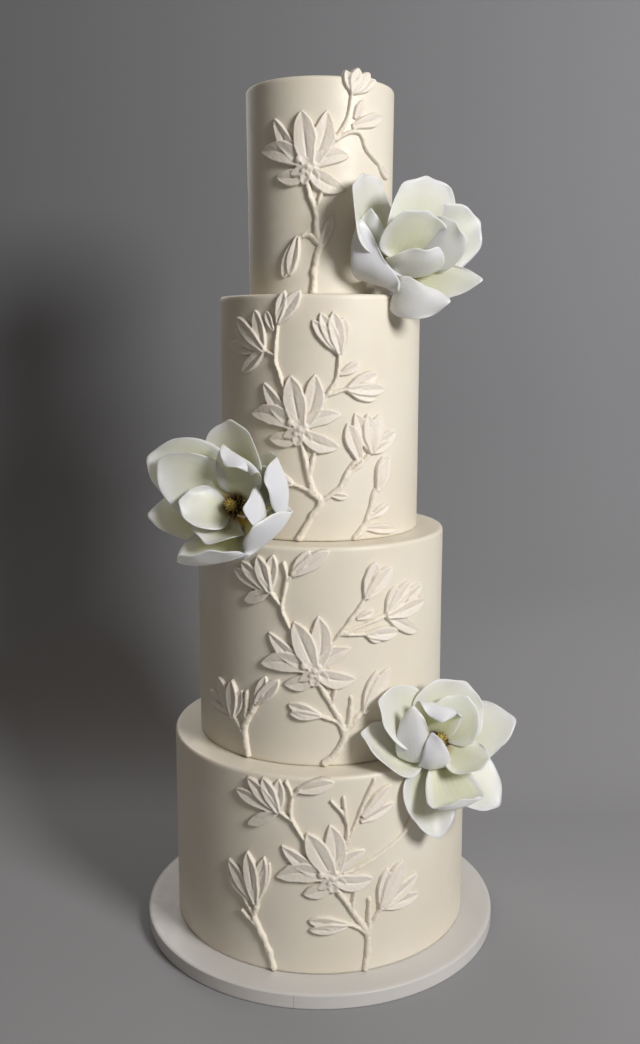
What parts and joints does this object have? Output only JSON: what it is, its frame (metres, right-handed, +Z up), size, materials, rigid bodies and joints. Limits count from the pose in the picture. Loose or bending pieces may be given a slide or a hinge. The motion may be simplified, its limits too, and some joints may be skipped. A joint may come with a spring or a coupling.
{
  "type": "tiered wedding cake",
  "caption": "Tall stacked cake of round tiers on a round drum board, covered in smooth icing with magnolia sprays in relief and open sugar magnolias standing off its sides.",
  "frame": {"origin": "centre of the drum board's underside, on the cake's axis, where the board rests on its table", "axes": "+Z up along the cake's axis, -Y towards the front with the blooms, +X to the viewer's right"},
  "size_m": [0.3622, 0.3556, 0.8204],
  "materials": {
    "icing": "satin ivory sugar paste",
    "relief": "matte blush ivory sugar paste",
    "board_white": "satin white sugar paste over a drum board",
    "sugar_white": "matte white flower paste dusted pale yellow",
    "heart_brown": "matte dusted flower paste"
  },
  "bodies": {
    "root": {"board": "board_white", "tier_1": "icing", "tier_2": "icing", "tier_3": "icing", "tier_4": "icing", "spray_1_front": "relief", "spray_1_left": "relief", "spray_2_front": "relief", "spray_2_left": "relief", "spray_3_front": "relief", "spray_3_right": "relief", "spray_4_front": "relief", "magnolia_left_heart": "heart_brown", "magnolia_left_petal_1": "sugar_white", "magnolia_left_petal_2": "sugar_white", "magnolia_left_petal_3": "sugar_white", "magnolia_left_petal_4": "sugar_white", "magnolia_left_petal_5": "sugar_white", "magnolia_left_petal_6": "sugar_white", "magnolia_left_petal_7": "sugar_white", "magnolia_left_petal_8": "sugar_white", "magnolia_left_petal_9": "sugar_white", "magnolia_left_petal_10": "sugar_white", "magnolia_left_petal_11": "sugar_white", "magnolia_left_petal_12": "sugar_white", "magnolia_right_heart": "heart_brown", "magnolia_right_petal_1": "sugar_white", "magnolia_right_petal_2": "sugar_white", "magnolia_right_petal_3": "sugar_white", "magnolia_right_petal_4": "sugar_white", "magnolia_right_petal_5": "sugar_white", "magnolia_right_petal_6": "sugar_white", "magnolia_right_petal_7": "sugar_white", "magnolia_right_petal_8": "sugar_white", "magnolia_right_petal_9": "sugar_white", "magnolia_right_petal_10": "sugar_white", "magnolia_right_petal_11": "sugar_white", "magnolia_right_petal_12": "sugar_white", "magnolia_top_heart": "heart_brown", "magnolia_top_petal_1": "sugar_white", "magnolia_top_petal_2": "sugar_white", "magnolia_top_petal_3": "sugar_white", "magnolia_top_petal_4": "sugar_white", "magnolia_top_petal_5": "sugar_white", "magnolia_top_petal_6": "sugar_white", "magnolia_top_petal_7": "sugar_white", "magnolia_top_petal_8": "sugar_white", "magnolia_top_petal_9": "sugar_white", "magnolia_top_petal_10": "sugar_white"}
  },
  "joints": []
}
